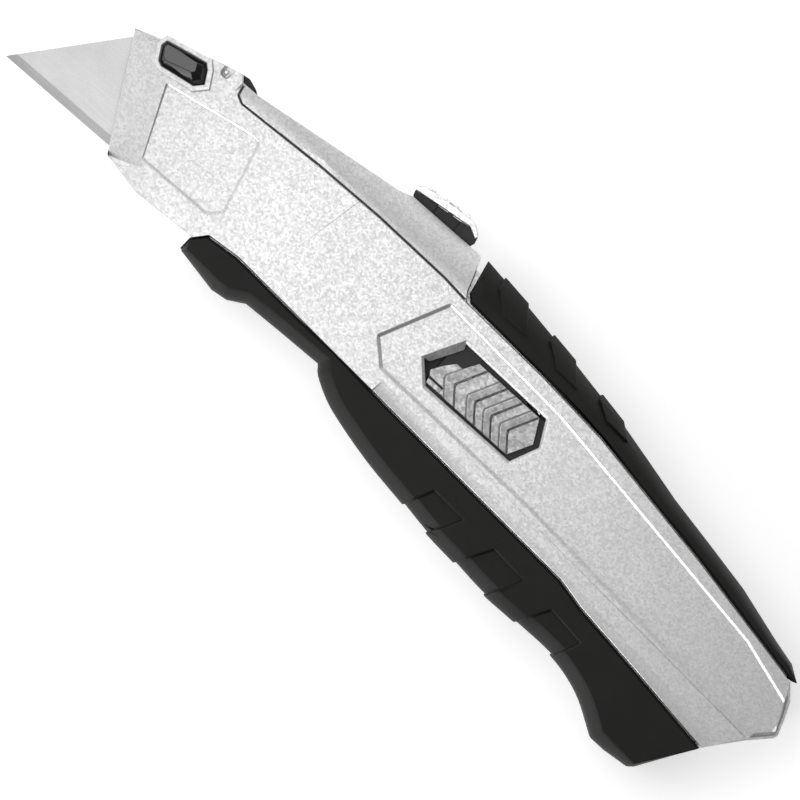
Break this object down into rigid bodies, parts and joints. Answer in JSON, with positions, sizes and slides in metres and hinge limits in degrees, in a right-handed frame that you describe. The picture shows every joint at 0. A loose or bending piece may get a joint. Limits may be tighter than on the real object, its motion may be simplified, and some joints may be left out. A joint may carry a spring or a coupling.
{
  "type": "utility knife",
  "caption": "Retractable utility knife: silver cast body with black soft grips, thumb slider, trapezoid blade, nose release button, side latch and a spare blade drawer in the butt.",
  "frame": {"origin": "centre of the footprint of the knife lying on its far side, blade extended", "axes": "+X along the cutting edge from the blade point to the butt, +Y from the cutting edge to the spine, +Z out of the side with the window"},
  "size_m": [0.198, 0.0606, 0.022],
  "materials": {
    "silver_paint": "die casting under fine-grained silver metallic paint",
    "thumb_silver": "bright silver, satin",
    "soft_grip": "moulded soft grip, satin with fine grain",
    "blade_steel": "bright rolled strip, ground edge",
    "raw_metal": "bare cast metal, tumbled",
    "spring_steel": "bright wire",
    "screw_steel": "zinc plated",
    "gloss_black": "polished black",
    "satin_black": "satin black moulding"
  },
  "bodies": {
    "handle": {"right_shell": "silver_paint", "left_shell": "silver_paint", "belly_grip": "soft_grip", "spine_grip": "soft_grip", "detent_spring": "spring_steel", "button_spring": "spring_steel", "latch_spring": "spring_steel", "lever_pin": "spring_steel", "body_screw_1": "screw_steel", "body_screw_2": "screw_steel", "body_screw_3": "screw_steel"},
    "slider": {"blade": "blade_steel", "blade_carrier": "raw_metal", "slider_neck": "satin_black", "slider_cap": "thumb_silver", "cap_screw": "screw_steel"},
    "button": {"release_button": "gloss_black"},
    "rocker": {"release_lever": "satin_black"},
    "latch": {"latch_slide": "raw_metal"},
    "drawer": {"magazine_tray": "satin_black", "end_cap": "silver_paint", "retainer_spring": "spring_steel", "spare_blade_1": "blade_steel", "spare_blade_2": "blade_steel", "spare_blade_3": "blade_steel", "spare_blade_4": "blade_steel", "spare_blade_5": "blade_steel"}
  },
  "joints": [
    {"name": "blade_slide", "type": "slide", "parent": "handle", "child": "slider", "axis": [1, 0, 0], "range_m": [0, 0.028]},
    {"name": "button_press", "type": "slide", "parent": "handle", "child": "button", "axis": [0, 0, -1], "range_m": [0, 0.001], "stiffness_N_per_m": 2000, "deforming": ["button_spring"]},
    {"name": "rocker_turn", "type": "hinge", "parent": "handle", "child": "rocker", "pos_m": [-0.06367, 0.02013, 0.011], "axis": [0, 0, 1], "range_deg": [-6.1, 0]},
    {"name": "latch_push", "type": "slide", "parent": "handle", "child": "latch", "axis": [-1, 0, 0], "range_m": [0, 0.0035], "stiffness_N_per_m": 600},
    {"name": "drawer_slide", "type": "slide", "parent": "handle", "child": "drawer", "axis": [0.9903, -0.1392, 0], "range_m": [0, 0.058]}
  ],
  "couplings": [
    {"joint": "rocker_turn", "follows": "button_press", "rad_per_m": -104.7}
  ]
}
